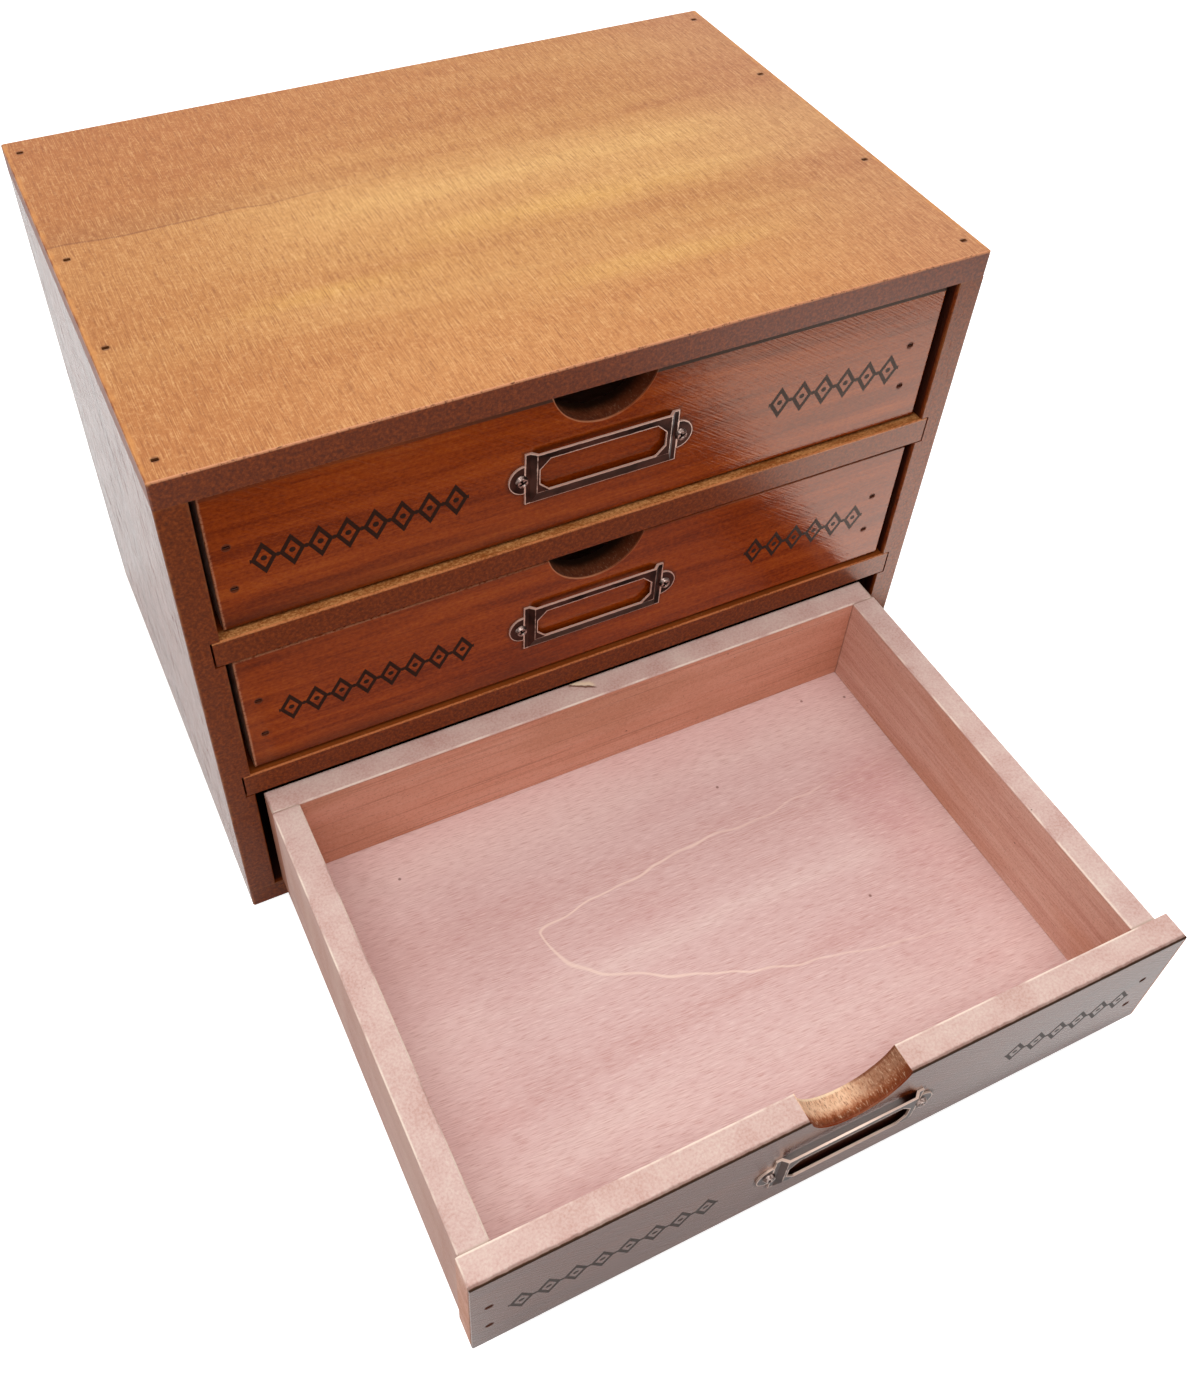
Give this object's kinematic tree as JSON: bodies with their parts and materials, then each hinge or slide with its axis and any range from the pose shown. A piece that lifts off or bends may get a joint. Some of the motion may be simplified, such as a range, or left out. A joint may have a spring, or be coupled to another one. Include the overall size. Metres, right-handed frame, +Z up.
{
  "type": "embroidery thread drawer box",
  "caption": "Small stained wood chest whose nailed drawers slide in stacked bays, each with a thumb notch and a stamped label frame",
  "frame": {"origin": "centre of the case's footprint on the surface it stands on", "axes": "+X to the right along the front, +Y from the front to the back, +Z up"},
  "size_m": [0.255, 0.3441, 0.194],
  "materials": {
    "case_top_wood": "varnished",
    "case_wood": "varnished",
    "divider_wood": "varnished",
    "panel_wood": "plain",
    "brad_steel": "dull",
    "front_wood": "gloss varnish",
    "box_wood": "plain",
    "floor_ply": "plain",
    "antique_bronze": "antiqued",
    "antique_bronze_screw": "antiqued"
  },
  "bodies": {
    "case": {"top_board": "case_top_wood", "bottom_board": "case_wood", "left_side": "case_wood", "right_side": "case_wood", "back_panel": "panel_wood", "upper_divider": "divider_wood", "lower_divider": "divider_wood", "top_board_brads": "brad_steel", "bottom_board_brads": "brad_steel", "divider_brads": "brad_steel"},
    "top_drawer": {"top_drawer_front": "front_wood", "top_drawer_left_side": "box_wood", "top_drawer_right_side": "box_wood", "top_drawer_back": "box_wood", "top_drawer_floor": "floor_ply", "top_drawer_brads": "brad_steel", "top_label_frame": "antique_bronze", "top_label_screws": "antique_bronze_screw"},
    "middle_drawer": {"middle_drawer_front": "front_wood", "middle_drawer_left_side": "box_wood", "middle_drawer_right_side": "box_wood", "middle_drawer_back": "box_wood", "middle_drawer_floor": "floor_ply", "middle_drawer_brads": "brad_steel", "middle_label_frame": "antique_bronze", "middle_label_screws": "antique_bronze_screw"},
    "bottom_drawer": {"bottom_drawer_front": "front_wood", "bottom_drawer_left_side": "box_wood", "bottom_drawer_right_side": "box_wood", "bottom_drawer_back": "box_wood", "bottom_drawer_floor": "floor_ply", "bottom_drawer_brads": "brad_steel", "bottom_label_frame": "antique_bronze", "bottom_label_screws": "antique_bronze_screw"}
  },
  "joints": [
    {"name": "top_drawer_slide", "type": "slide", "parent": "case", "child": "top_drawer", "axis": [0, -1, 0], "range_m": [0, 0.1665]},
    {"name": "middle_drawer_slide", "type": "slide", "parent": "case", "child": "middle_drawer", "axis": [0, -1, 0], "range_m": [-0.001, 0.1655]},
    {"name": "bottom_drawer_slide", "type": "slide", "parent": "case", "child": "bottom_drawer", "axis": [0, -1, 0], "range_m": [-0.1665, 0]}
  ]
}
